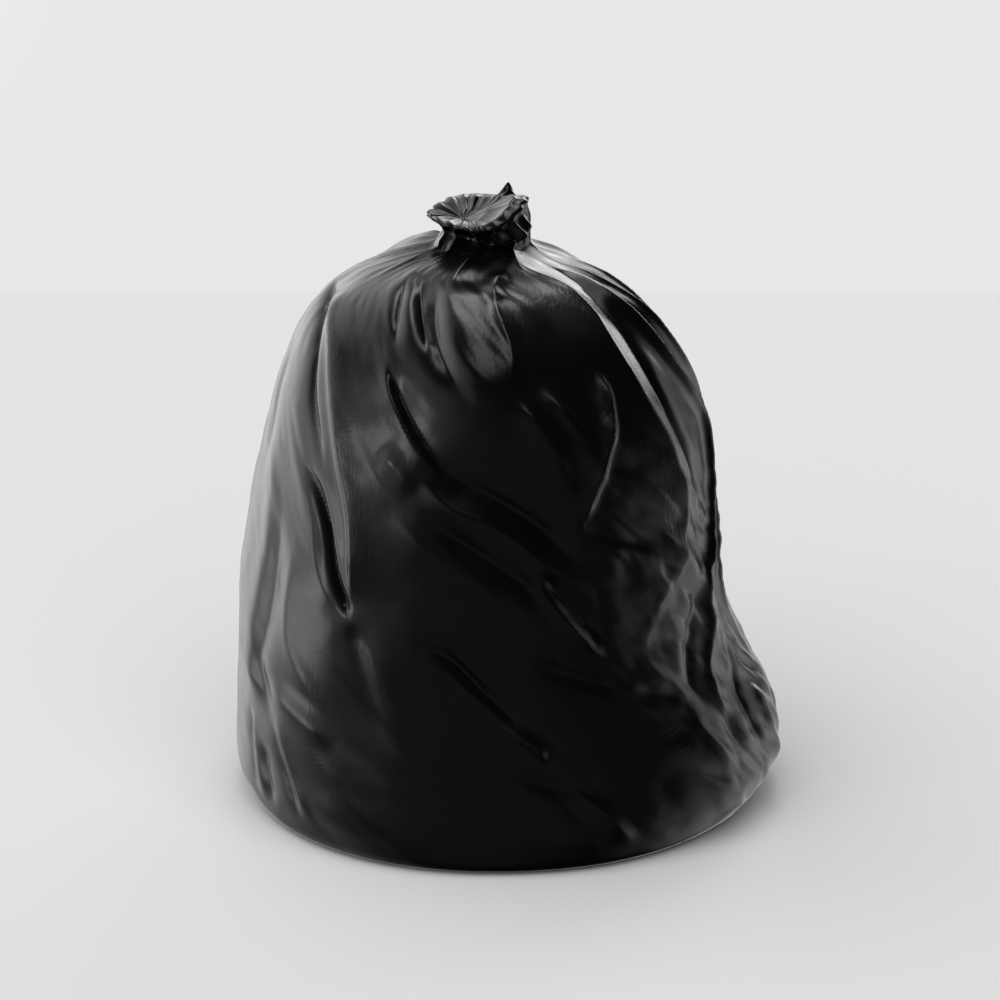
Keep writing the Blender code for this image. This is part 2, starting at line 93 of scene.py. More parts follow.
def smoothThrough(knots, values, at):
    # cubic Hermite curve: between two knots, values and slopes blended by 2t^3-3t^2+1 and its kin
    knots = np.asarray(knots, float)
    values = np.asarray(values, float)
    slopes = np.gradient(values, knots, axis=0)
    i = np.clip(np.searchsorted(knots, at, side="right") - 1, 0, len(knots) - 2)
    span = (knots[i + 1] - knots[i])[..., None]
    t = np.clip((at - knots[i])[..., None] / span, 0, 1)
    return ((2 * t**3 - 3 * t**2 + 1) * values[i] + (t**3 - 2 * t**2 + t) * span * slopes[i]
            + (3 * t**2 - 2 * t**3) * values[i + 1] + (t**3 - t**2) * span * slopes[i + 1])


def wayAlong(points):
    # running sum of the straight steps between points
    steps = np.linalg.norm(np.diff(points, axis=0), axis=1)
    return np.concatenate(([0.0], np.cumsum(steps)))


profile = np.array(sack["profile"])
profileUp = wayAlong(np.c_[profile[:, 0], profile[:, 1:].mean(axis=1)])
neckUp = profileUp[-1]


def ovalPoint(turn, left, right, front, back):
    # lopsided ellipse: centre half way between opposite reaches, swollen by sin(2 turn) squared
    fuller = 1 + sack["cornerFullness"] * np.sin(2 * turn) ** 2
    x = (right - left) / 2 + (right + left) / 2 * np.sin(turn) * fuller
    y = (back - front) / 2 - (back + front) / 2 * np.cos(turn) * fuller
    return x, y


def degreesApart(turn, middle):
    # how far a turn in radians lies from a middle in degrees, from -180 to 180 degrees
    return (np.degrees(turn) - middle + 180) % 360 - 180


def filledBody(turn, up):
    # oval rings whose height and reaches follow the profile, plus a bell-shaped swell at each lump
    height, left, right, front, back = np.moveaxis(smoothThrough(profileUp, profile, up), -1, 0)
    x, y = ovalPoint(turn, left, right, front, back)
    for middle, wayUp, turnSpread, upSpread, size in sack["lumps"]:
        swell = size * np.exp(-(degreesApart(turn, middle) / turnSpread) ** 2
                              - ((up - wayUp) / upSpread) ** 2)
        x = x + swell * np.sin(turn)
        y = y - swell * np.cos(turn)
    return np.stack([x, y, height], axis=-1)


def surfaceNormals(grid):
    # cross product of the steps round and up the grid
    roundWay = np.roll(grid, -1, axis=1) - np.roll(grid, 1, axis=1)
    normals = np.cross(roundWay, np.gradient(grid, axis=0))
    return normals / np.maximum(np.linalg.norm(normals, axis=-1, keepdims=True), 1e-12)


def belowNeck(ups, over):
    # 0 at the neck, rising in a straight line to 1 at a way of over below it
    return np.clip((neckUp - ups) / over, 0, 1)


def slack(turn, up):
    # a few slow sine waves that wind round the bag
    waves = [share * np.sin(roundWay * turn + upWay * up + phase)
             for roundWay, upWay, phase, share in sack["slackWaves"]]
    return sack["slackHeight"] * sum(waves)


# each fold: height, half widths left and right of it, sharpness, shares of its length over which
# it rises at its start and falls at its end, then its route, mostly from the top down
folds = (
    # the deep pleat on the left shoulder: two slits, and the film lapped over them from the right
    (-.009, .007, .005, 1.3, .15, .40,
     ((-92, .57), (-73, .54), (-60, .50), (-54, .46), (-47, .42), (-41, .38))),
    (.008, .005, .024, 1.3, .15, .15,
     ((-78, .57), (-59, .54), (-50, .51), (-43, .46), (-38, .41), (-33, .36), (-30, .27))),
    (-.010, .004, .004, 1.3, .35, .12, ((-52, .40), (-46, .38), (-41, .35), (-36, .30), (-30, .262))),
    (.002, .014, .006, 1.4, .35, .15, ((-58, .41), (-51, .38), (-46, .35), (-41, .30), (-34, .265))),
    (-.003, .012, .012, 1.6, .15, .50, ((-30, .26), (-27, .21), (-23, .16), (-20, .13))),
    (.002, .010, .016, 1.6, .30, .50, ((-25, .25), (-22, .20), (-18, .15), (-14, .11))),
    # soft folds down the left side
    (.003, .022, .014, 1.7, .30, .30,
     ((-70, .42), (-64, .36), (-62, .30), (-62, .23), (-62, .17), (-60, .12))),
    (-.004, .014, .015, 1.6, .30, .25,
     ((-58, .36), (-57, .31), (-56, .24), (-58, .19), (-55, .15), (-53, .11))),
    (.003, .012, .016, 1.6, .30, .40, ((-50, .33), (-49, .28), (-47, .22), (-40, .18), (-34, .15))),
    (-.003, .012, .008, 1.4, .30, .40, ((-84, .50), (-79, .45), (-74, .40), (-70, .36))),
    (.003, .012, .010, 1.5, .30, .30, ((-76, .22), (-68, .19), (-60, .165), (-56, .15))),
    (.003, .010, .014, 1.6, .30, .30, ((-55, .17), (-48, .16), (-40, .145), (-34, .13))),
    (-.004, .016, .010, 1.5, .30, .30, ((-86, .34), (-84, .26), (-80, .20), (-74, .14))),
    # the fan above the left foot
    (-.003, .008, .008, 1.5, .30, .30, ((-64, .14), (-66, .09), (-64, .04))),
    (.002, .008, .008, 1.5, .30, .30, ((-62, .14), (-62, .08), (-59, .04))),
    (-.003, .008, .008, 1.5, .30, .30, ((-59, .11), (-58, .07), (-56, .04))),
    (-.003, .008, .010, 1.5, .30, .30, ((-54, .14), (-50, .09), (-46, .04))),
    (.003, .008, .008, 1.5, .30, .30, ((-52, .15), (-48, .09), (-42, .04))),
    # short folds below the neck, on the left of the front
    (-.004, .005, .005, 1.1, .30, .40, ((-36, .61), (-31, .58), (-28, .55), (-25, .52))),
    (-.005, .007, .010, 1.2, .30, .35, ((-26, .61), (-21, .58), (-17, .55), (-14, .51))),
    (-.008, .005, .012, 1.1, .30, .35,
     ((-28, .505), (-23, .477), (-18, .447), (-13, .420), (-8, .400))),
    (.009, .014, .005, 1.05, .35, .25,
     ((-29, .505), (-25, .478), (-20, .450), (-15, .425), (-10, .400))),
    (.0035, .010, .016, 1.2, .35, .30, ((-27, .424), (-21, .404), (-16, .388))),
    # the leaf-shaped panel in the middle, and the curl beside it
    (.004, .024, .026, 4.0, .20, .30, ((-3, .62), (-2, .58), (0, .54), (4, .50), (7, .465), (8, .445))),
    (-.005, .012, .006, 1.3, .30, .30, ((-15, .60), (-13, .56), (-10, .52), (-4, .48))),
    (.005, .008, .045, 1.2, .30, .35, ((13, .60), (12, .56), (12, .52), (10, .48))),
    (.004, .008, .008, 1.6, .30, .30, ((13, .575), (15, .60), (20, .615), (30, .62))),
    # the folds that wind down across the front
    (-.010, .013, .011, 1.4, .30, .30, ((-14, .43), (-6, .40), (4, .38), (14, .355), (24, .31))),
    (.008, .013, .010, 1.4, .30, .35, ((-18, .41), (-8, .375), (6, .35), (18, .31), (30, .28))),
    (-.008, .010, .009, 1.4, .30, .35, ((-16, .37), (-6, .345), (4, .32), (14, .29), (22, .26))),
    (.004, .014, .012, 1.5, .30, .30, ((-24, .37), (-12, .33), (0, .30), (10, .265))),
    (.007, .005, .005, 1.3, .25, .25, ((11, .31), (16, .285), (21, .26), (25, .24), (30, .225))),
    (-.007, .006, .010, 1.4, .30, .25, ((13, .315), (19, .290), (24, .266), (30, .24))),
    (-.006, .009, .007, 1.4, .30, .30, ((12, .232), (18, .216), (25, .202), (32, .19))),
    (-.011, .008, .010, 1.3, .35, .30, ((-16, .25), (-6, .228), (0, .20), (5, .175), (10, .145))),
    (.006, .005, .012, 1.4, .35, .35, ((-8, .22), (1, .185), (6, .163), (13, .135))),
    (.006, .005, .005, 1.4, .40, .25, ((3, .17), (8, .152), (13, .13))),
    (-.005, .009, .009, 1.4, .30, .30, ((4, .125), (10, .11), (18, .098), (24, .08))),
    (.006, .007, .008, 1.3, .30, .35, ((14, .11), (20, .09), (25, .065), (30, .04))),
    (.010, .010, .004, 1.3, .25, .30,
     ((36, .50), (36, .47), (33, .43), (29, .40), (26, .375), (24, .35))),
    (.007, .014, .011, 1.7, .35, .35, ((10, .48), (16, .44), (22, .39))),
    (.007, .012, .010, 1.7, .35, .35, ((18, .49), (25, .44), (31, .385))),
    (-.004, .010, .010, 1.6, .30, .30, ((22, .36), (34, .335), (46, .32))),
    (.004, .010, .010, 1.6, .30, .30, ((26, .34), (40, .315), (52, .29))),
    (-.004, .008, .008, 1.6, .40, .40, ((34, .19), (40, .18), (47, .165))),
    # the bands on the right shoulder, which meet at the waist and fan out over the bulge
    (.014, .036, .022, 1.1, .22, .30,
     ((36, .66), (45, .62), (48, .58), (47, .55), (45, .51), (46, .48), (48, .45), (52, .40), (54, .34),
      (51, .29), (46, .25))),
    (-.008, .006, .008, 1.4, .24, .25,
     ((64, .65), (69, .61), (65, .58), (60, .54), (58, .50), (59, .45), (62, .40), (65, .35),
      (64, .31))),
    (.010, .007, .018, 1.2, .22, .30,
     ((70, .64), (72, .60), (69, .56), (70, .52), (73, .48), (78, .44), (82, .41), (79, .36), (69, .30),
      (63, .26), (64, .20), (68, .15))),
    (-.005, .004, .005, 1.3, .26, .30,
     ((78, .66), (83, .61), (82, .57), (81, .53), (82, .49), (86, .45), (90, .42), (87, .37), (76, .31),
      (69, .26), (72, .20), (78, .15))),
    (.007, .005, .014, 1.2, .24, .30,
     ((83, .66), (88, .61), (88, .56), (87, .51), (90, .46), (95, .41), (92, .36), (82, .30), (76, .25),
      (82, .18), (88, .13))),
    (-.005, .004, .005, 1.3, .26, .30,
     ((96, .66), (100, .60), (100, .55), (98, .50), (100, .45), (104, .40), (99, .33), (89, .27),
      (88, .20), (94, .15))),
    (.006, .005, .012, 1.2, .24, .30,
     ((102, .66), (107, .60), (107, .54), (105, .48), (108, .42), (109, .35), (102, .28), (98, .21),
      (104, .14))),
    (-.002, .008, .010, 1.4, .32, .30,
     ((114, .65), (122, .57), (122, .50), (120, .42), (120, .34), (113, .27), (112, .20))),
    # creases on the bulge
    (.002, .010, .010, 1.6, .30, .30, ((52, .30), (46, .27), (42, .24), (38, .215))),
    (-.004, .008, .010, 1.5, .30, .30, ((58, .27), (56, .23), (52, .20), (50, .16))),
    (.004, .008, .010, 1.5, .30, .30, ((66, .25), (62, .21), (58, .18), (58, .13))),
    (-.004, .007, .008, 1.5, .30, .30, ((72, .21), (69, .17), (66, .13), (68, .08))),
    (.003, .010, .010, 1.5, .30, .30, ((46, .16), (50, .12), (57, .08))),
    (-.004, .010, .010, 1.5, .30, .30, ((56, .14), (60, .10), (68, .06))),
    (.004, .009, .010, 1.5, .30, .30, ((74, .15), (74, .10), (78, .05))),
    (-.004, .008, .008, 1.5, .30, .30, ((84, .13), (84, .09), (82, .05))),
    # the back and the far side, which wind the same way
    (.009, .006, .020, 1.3, .08, .40, ((136, .66), (134, .56), (138, .44), (150, .34))),
    (-.008, .010, .008, 1.4, .10, .40, ((150, .65), (150, .56), (156, .46), (170, .38), (182, .30))),
    (.009, .007, .022, 1.3, .08, .35, ((170, .66), (174, .56), (182, .46), (194, .36), (208, .28))),
    (-.007, .012, .008, 1.4, .10, .40, ((190, .65), (196, .55), (208, .45), (224, .36))),
    (.010, .007, .020, 1.3, .08, .30, ((210, .66), (214, .56), (224, .47), (240, .38), (252, .29))),
    (-.006, .010, .008, 1.4, .10, .40, ((236, .66), (240, .58), (250, .50), (262, .43))),
    (-.007, .014, .010, 1.4, .30, .40, ((130, .30), (146, .22), (166, .15))),
    (.006, .010, .018, 1.5, .30, .40, ((176, .28), (192, .20), (206, .10))),
    (-.006, .012, .009, 1.4, .30, .40, ((216, .27), (228, .19), (236, .08))),
    (-.005, .010, .010, 1.5, .30, .30, ((122, .14), (132, .08), (138, .03))),
    (.005, .010, .010, 1.5, .30, .30, ((160, .12), (166, .04))),
    (-.005, .010, .010, 1.5, .30, .30, ((196, .11), (198, .03))),
    (.005, .010, .010, 1.5, .30, .30, ((244, .16), (250, .09), (252, .03))),
)

foldLines = {
    # how many points a route is read at, and the mean reach that turns it into a length
    "steps": 140, "meanReach": 0.22,
    # a route stops this far short of the neck, and a fold is felt this many half widths away
    "neckGap": 0.002, "widthsAway": 4,
    "slice": 20000,  # how many points are compared at a time, to spare memory
    # how strongly columns of the mesh gather at a fold, over what turn in radians, past its ends
    # and below the neck; at how many turns that is worked out, and how often it is evened out
    "crowding": 2.0, "crowdSpread": 0.05, "crowdPast": 0.03, "crowdFade": 0.15,
    "crowdSamples": 1440, "crowdBlur": 30,
    "fullCrease": 0.008,  # a fold of this height is creased in full
}


def foldLine(route):
    # the route's own points joined by a smooth curve on the filled body
    turns = np.radians([p[0] for p in route])
    ups = np.minimum([p[1] for p in route], neckUp - foldLines["neckGap"])
    way = wayAlong(np.c_[turns * foldLines["meanReach"], ups])
    track = np.c_[turns, ups]
    at = np.linspace(0, way[-1], foldLines["steps"])
    dense = smoothThrough(way, track, at)
    return filledBody(dense[:, 0], dense[:, 1])


def riseAndFall(share, fadeIn, fadeOut):
    # smooth steps, 3t^2-2t^3, up at the start and down at the end
    rising = np.clip(share / fadeIn, 0, 1)
    falling = np.clip((1 - share) / fadeOut, 0, 1)
    return rising**2 * (3 - 2 * rising) * falling**2 * (3 - 2 * falling)


def foldHeights(points, normals, fold):
    # height x exp(-|distance / half width| ^ sharpness), faded along the route
    height, leftWidth, rightWidth, sharp, fadeIn, fadeOut, route = fold
    line = foldLine(route)
    reach = foldLines["widthsAway"] * max(leftWidth, rightWidth)
    near = np.all((points > line.min(axis=0) - reach) & (points < line.max(axis=0) + reach), axis=1)
    at, outward = points[near], normals[near]
    nearest = np.empty(len(at), int)
    for start in range(0, len(at), foldLines["slice"]):
        end = start + foldLines["slice"]
        nearest[start:end] = ((at[start:end, None] - line[None]) ** 2).sum(axis=-1).argmin(axis=1)
    tangents = np.gradient(line, axis=0)
    tangents /= np.linalg.norm(tangents, axis=1, keepdims=True)
    along = tangents[nearest]
    across = np.cross(outward, along)
    across /= np.maximum(np.linalg.norm(across, axis=1, keepdims=True), 1e-9)
    offset = at - line[nearest]
    way = wayAlong(line)
    share = (way[nearest] + (offset * along).sum(axis=1)) / way[-1]
    distance = (offset * across).sum(axis=1)
    width = np.where(distance < 0, leftWidth, rightWidth)
    fade = riseAndFall(np.clip(share, 0, 1), fadeIn, fadeOut)
    heights = np.zeros(len(points))
    heights[near] = height * (fade * np.exp(-np.abs(distance / width) ** sharp))
    return heights


def columnTurns(columns, ups):
    # the turns of the columns at each row, drawn together where folds cross it
    ring = np.linspace(-math.pi, math.pi, foldLines["crowdSamples"] + 1)
    crowd = np.ones((len(ups), len(ring)))
    for fold in folds:
        turns = np.radians([p[0] for p in fold[-1]])[::-1]
        heights = np.array([p[1] for p in fold[-1]])[::-1]
        at = np.interp(ups, heights, turns)
        past = np.maximum(np.maximum(heights[0] - ups, ups - heights[-1]), 0)
        share = (foldLines["crowding"] * np.exp(-(past / foldLines["crowdPast"]) ** 2)
                 * belowNeck(ups, foldLines["crowdFade"]))
        away = (ring[None] - at[:, None] + math.pi) % (2 * math.pi) - math.pi
        crowd += share[:, None] * np.exp(-(away / foldLines["crowdSpread"]) ** 2)
    for _ in range(foldLines["crowdBlur"]):  # so that the columns bend gently
        crowd[1:-1] = (crowd[:-2] + 2 * crowd[1:-1] + crowd[2:]) / 4
    steps = (crowd[:, 1:] + crowd[:, :-1]) / 2
    total = np.concatenate([np.zeros((len(ups), 1)), np.cumsum(steps, axis=1)], axis=1)
    total /= total[:, -1:]
    wanted = np.arange(columns) / columns
    return np.array([np.interp(wanted, row, ring) for row in total])


# small facets of slack film, which meet in sharp edges and wind down round the bag
crinkles = {
    "twist": 3.5, "meanReach": 0.24,  # radians per metre up, and the reach it is worked out at
    # across a facet, how many times longer it is along the twist, height
    "facets": ((0.050, 2.2, 0.0110), (0.026, 2.0, 0.0070), (0.014, 1.6, 0.0025)),
    "least": 0.13, "soft": 0.05,  # share of the height on tight film, and how blunt the edges are
    # where the film is slack: turn, way up, spread in turn, spread up, share of the full height
    "slack": ((54, 0.31, 22, 0.09, 0.75), (62, 0.13, 36, 0.10, 0.8), (36, 0.40, 16, 0.07, 0.3),
              (-160, 0.30, 50, 0.16, 0.5)),
}


def bells(turns, ups, places):
    # the sum of a bell about each place, no more than 1
    rises = [share * np.exp(-(degreesApart(turns, turn) / turnSpread) ** 2
                            - ((ups - up) / upSpread) ** 2)
             for turn, up, turnSpread, upSpread, share in places]
    return np.minimum(sum(rises), 1)


def filmFacets(turns, ups):
    # root of noise squared plus a little: smooth noise stretched along a helix, creased along its zeros
    twisted = turns + crinkles["twist"] * ups
    heights = np.zeros(turns.shape)
    for width, longer, height in crinkles["facets"]:
        across = crinkles["meanReach"] / width
        places = np.stack([across * np.sin(twisted), across * np.cos(twisted),
                           ups / (width * longer)], axis=-1)
        sizes = [math.hypot(noise.noise(place), crinkles["soft"]) for place in places.reshape(-1, 3)]
        heights += height * np.reshape(sizes, turns.shape)
    least = crinkles["least"]
    share = least + (1 - least) * bells(turns, ups, crinkles["slack"])
    return heights * share * belowNeck(ups, sack["neckFade"])


neck = {
    "centre": (-0.018, 0.0),
    # rings above the neck: heights at the left, right, front and back, then the reach each way
    "rings": (
        (.565, .565, .560, .566, .045, .045, .039, .041),
        (.572, .575, .566, .576, .040, .045, .034, .037),
        (.576, .586, .571, .586, .042, .045, .035, .038),
        (.580, .596, .575, .589, .046, .044, .043, .042),
        (.585, .603, .5785, .596, .051, .045, .050, .044),
        (.588, .606, .582, .599, .048, .041, .047, .039),
        (.587, .602, .5835, .596, .035, .031, .033, .027),
        (.584, .593, .583, .589, .016, .017, .017, .012)),
    "dish": (-0.034, -0.004, 0.582),
    # pleats about the neck: how many, how deep, how far they run down the shoulders, how sharp
    # their grooves are, and how they wander (waves round the neck, phase, size in radians)
    "pleats": 9, "pleatHeight": 0.0034, "pleatRun": 0.026, "pleatSharpness": 0.7,
    "pleatWander": ((2, 0.6, 0.9), (3, 2.1, 0.6), (7, 0.0, 0.3)),
    # fine wrinkles below the neck, the same way, mostly about one side; they drift as they run down
    "wrinkles": 46, "wrinkleHeight": 0.0011, "wrinkleRun": 0.050, "wrinkleSharpness": 0.8,
    "wrinkleWander": ((3, 1.2, 1.6), (7, 0.4, 0.9)), "wrinkleSide": -110, "wrinkleDrift": 14,
    # wrinkles under the rim: how many, waves that crowd them and how far, height by the neck and
    # what it gains higher up, but less round the smooth front of the lip (turn, spread, share)
    "rimWrinkles": (26, 3, 2), "rimHeights": (0.4, 0.8), "smoothLip": (-10, 65, 0.85),
    # sharp ridges over the right of the rim: how many, how far they sway, sharpness and height
    "lipRidges": 2.6, "lipSway": 0.5, "lipSharpness": 0.8, "lipRidgeHeight": 0.0016,
    "spokes": (17, 2, 1.5, 0.8),  # spokes in the dish: how many, waves that crowd them, how far, share
    "frill": (36, 32, 0.006, 0.017), "frillTeeth": (24, 0.35),  # turn, spread, drop, reach; its teeth
    "spike": (139, 11, 0.013), "spikeRing": (5.6, 0.8),  # turn, half spread, height; ring, spread
    # the rings where the neck ends and the rim turns over, over how many the ridges die out in the
    # dish, and how creased all this film is
    "neckEnd": 3, "rim": 5, "dishRings": 1.5, "creased": 0.35,
}


def sines(turn, waves):
    # the sum of size x sin(count x turn + phase)
    return sum(size * np.sin(count * turn + phase) for count, phase, size in waves)


def grooved(angle, sharpness):
    # 1 - 2 |sin(angle)| ^ sharpness: sharp grooves between broad swellings
    return 1 - 2 * np.abs(np.sin(angle)) ** sharpness


def neckPleats(turn):
    # grooves that wander, so that the pleats between them are uneven
    return grooved(neck["pleats"] * turn / 2 + sines(turn, neck["pleatWander"]), neck["pleatSharpness"])


def fineWrinkles(turn, drift):
    # the same wave, finer; it drifts sideways as it runs down and is strongest on one side
    wander = sines(turn, neck["wrinkleWander"]) + drift
    side = ((1 + np.cos(turn - math.radians(neck["wrinkleSide"]))) / 2) ** 3
    return side * grooved(neck["wrinkles"] * turn / 2 + wander, neck["wrinkleSharpness"])


def neckFolds(turn, up):
    # both die away down the shoulders: the pleats as exp(-way), the wrinkles as exp(-way squared)
    below = np.clip(neckUp - up, 0, None)
    wrinkles = fineWrinkles(turn, neck["wrinkleDrift"] * below)
    return (neck["pleatHeight"] * neckPleats(turn) * np.exp(-(below / neck["pleatRun"]))
            + neck["wrinkleHeight"] * wrinkles * np.exp(-(below / neck["wrinkleRun"]) ** 2))


def ringAt(turn, place):
    # heights blended by the squares of the turn's sine and cosine, and the reaches of the ring
    rings = np.array(neck["rings"])
    knots = np.arange(1, len(rings) + 1)
    ring = np.moveaxis(smoothThrough(knots, rings, np.clip(place, 1, len(rings))), -1, 0)
    left = (1 - np.sin(turn)) / 2
    front = (1 + np.cos(turn)) / 2
    sideways = np.sin(turn) ** 2
    height = (sideways * (left * ring[0] + (1 - left) * ring[1])
              + (1 - sideways) * (front * ring[2] + (1 - front) * ring[3]))
    return height, ring[4:]


def frillShare(turn, place):
    # a flat-topped bell round the rim, over the ring where the neck ends
    frillTurn, frillSpread = neck["frill"][:2]
    rise = np.exp(-(degreesApart(turn, frillTurn) / frillSpread) ** 4)
    return rise * np.exp(-(place - neck["neckEnd"]) ** 2)


def spikeHeight(turn, place):
    # a straight-sided peak round the rim, bell-shaped across it
    spikeTurn, halfSpread, height = neck["spike"]
    ring, ringSpread = neck["spikeRing"]
    peak = np.clip(1 - np.abs(degreesApart(turn, spikeTurn)) / halfSpread, 0, 1)
    return height * peak * np.exp(-((place - ring) / ringSpread) ** 2)


def rimPleats(turn, place, frill, inward):
    # the neck's pleats run on up to the rim, finer under it, and fade into the dish
    upper = np.clip((place - neck["neckEnd"]) / (neck["rim"] - neck["neckEnd"]), 0, 1)
    lipTurn, lipSpread, lipShare = neck["smoothLip"]
    smoothLip = 1 - lipShare * upper * np.exp(-(degreesApart(turn, lipTurn) / lipSpread) ** 4)
    count, crowds, sway = neck["rimWrinkles"]
    atNeck, gain = neck["rimHeights"]
    pleats = ((1 - upper) * neck["pleatHeight"] * neckPleats(turn)
              + (atNeck + gain * upper * smoothLip + frill) * neck["wrinkleHeight"]
              * np.sin(count * turn + sway * np.sin(crowds * turn)))
    return pleats * (1 - inward)


def dishRidges(turn, place, inward, last):
    # grooved ridges that sweep over the rim's right side, and sine spokes round the rest of the dish
    onTop = np.clip(place - neck["rim"], 0, 1) * np.clip((last - place) / neck["dishRings"], 0, 1)
    left = (1 - np.sin(turn)) / 2
    sweep = grooved(math.pi * neck["lipRidges"] * inward + neck["lipSway"] * np.cos(turn),
                    neck["lipSharpness"])
    count, crowds, sway, share = neck["spokes"]
    spokes = np.sin(count * turn + sway * np.sin(crowds * turn))
    return neck["lipRidgeHeight"] * onTop * ((1 - left) * sweep + share * left * spokes)


def tuftPoints(turn, share, neckEdge):
    # oval rings from the neck out under the rim, over it and in to the dish; a place counts the
    # rings, from 0 at the neck, and share is the part of the way there
    last = len(neck["rings"]) + 1
    place = share * last
    inward = np.clip((place - neck["rim"]) / (last - neck["rim"]), 0, 1)
    height, reaches = ringAt(turn, place)
    frill = frillShare(turn, place)
    drop, reachOut = neck["frill"][2:]
    teeth, depth = neck["frillTeeth"]
    height = height - drop * frill * (1 + depth * np.sin(teeth * turn))
    height = height + spikeHeight(turn, place)
    pleats = rimPleats(turn, place, frill, inward)
    x, y = ovalPoint(turn, *(reach + reachOut * frill + pleats for reach in reaches))
    x = x + neck["centre"][0] + (neck["dish"][0] - neck["centre"][0]) * inward
    y = y + neck["centre"][1] + (neck["dish"][1] - neck["centre"][1]) * inward
    height = height + dishRidges(turn, place, inward, last)
    points = np.stack([x, y, height], axis=-1)
    lower = np.clip(place, 0, 1)[..., None]
    closing = np.clip(place - (last - 1), 0, 1)[..., None]
    points = neckEdge * (1 - lower) + points * lower
    return points * (1 - closing) + np.array(neck["dish"]) * closing


def filmGrid():
    # rows of points from the ring about the middle of the base, up the side, to the dish
    columns = sack["columns"]
    up = np.linspace(0, neckUp, sack["rows"] - sack["baseRows"] - sack["tuftRows"])
    turns = columnTurns(columns, up)
    ups = np.repeat(up[:, None], columns, axis=1)
    body = filledBody(turns, ups)
    normals = surfaceNormals(body)
    points, outward = body.reshape(-1, 3), normals.reshape(-1, 3)
    heights = sum(foldHeights(points, outward, fold) for fold in folds).reshape(ups.shape)
    creased = np.abs(heights) / foldLines["fullCrease"]
    heights += neckFolds(turns, ups) + slack(turns, ups) * belowNeck(ups, sack["neckFade"])
    heights += filmFacets(turns, ups)
    lift = np.clip(body[..., 2] / sack["footFade"], 0, 1)
    body = body + normals * (heights * lift)[..., None]
    base = body[0] * np.linspace(0, 1, sack["baseRows"] + 1)[1:, None, None]
    share = np.linspace(0, 1, sack["tuftRows"] + 1)[1:-1]
    tuftTurns = np.repeat(turns[-1:], len(share), axis=0)
    top = tuftPoints(tuftTurns, np.repeat(share[:, None], columns, axis=1), body[-1])
    grid = np.concatenate([base[:-1], body, top])
    creases = np.concatenate([np.zeros(base[:-1].shape[:2]), creased,
                              np.full(top.shape[:2], neck["creased"])])
    print("film worked out:", len(folds), "folds on", grid.shape[0], "rows of", grid.shape[1])
    return grid, np.clip(creases, 0, 1)


def closedMesh(name, grid, southPole, northPole, attributes):
    # quads between the rings, and a fan of triangles at each pole
    rows, columns, _ = grid.shape
    points = np.concatenate([grid.reshape(-1, 3), [southPole, northPole]])
    index = np.arange(rows * columns).reshape(rows, columns)
    beside = np.roll(index, -1, axis=1)
    quads = np.stack([index[:-1], beside[:-1], beside[1:], index[1:]], axis=-1).reshape(-1, 4)
    south = np.stack([np.full(columns, rows * columns), beside[0], index[0]], axis=-1)
    north = np.stack([np.full(columns, rows * columns + 1), index[-1], beside[-1]], axis=-1)
    mesh = bpy.data.meshes.new(name)
    mesh.from_pydata(points.tolist(), [], quads.tolist() + south.tolist() + north.tolist())
    for label, values in attributes.items():
        layer = mesh.attributes.new(label, "FLOAT", "POINT")
        layer.data.foreach_set("value", np.concatenate([values.ravel(), [values[0, 0], 1.0]]))
    mesh.shade_smooth()
    return mesh


def linear(hexColour):
    # sRGB hex to linear light: a dark part / 12.92, a lighter one ((part + 0.055) / 1.055) ^ 2.4
    parts = [int(hexColour[i:i + 2], 16) / 255 for i in (1, 3, 5)]
    return tuple(c / 12.92 if c <= 0.04045 else ((c + 0.055) / 1.055) ** 2.4 for c in parts) + (1.0,)


def addNode(tree, kind, settings=None, links=None):
    # one node: settings are its own values or its inputs' (by name or number), links feed its inputs
    node = tree.nodes.new(kind)
    for key, value in (settings or {}).items():
        if isinstance(key, str) and hasattr(node, key):
            setattr(node, key, value)
        else:
            node.inputs[key].default_value = value
    for key, source in (links or {}).items():
        tree.links.new(source, node.inputs[key])
    return node


def newMaterial(name):
    # a material with an empty node tree
    material = bpy.data.materials.new(name)
    material.use_nodes = True
    material.node_tree.nodes.clear()
    return material, material.node_tree


film = {
    "colour": "#030303", "ior": 1.36,
    # the glossiest and the dullest patches, the noise that makes them and their size, about 45 mm
    "roughness": (0.19, 0.27), "hazeRange": (0.3, 0.7), "hazeSize": 1 / 22,
    # fine wrinkles, about 4 mm apart and 17 mm long up and down, and how deep they are
    "wrinkleWidth": 1 / 240, "wrinkleLength": 1 / 60, "wrinkleDepth": 0.0006,
    "wrinkleShare": (0.12, 0.5),  # of that depth, on smooth film and on a full crease
}


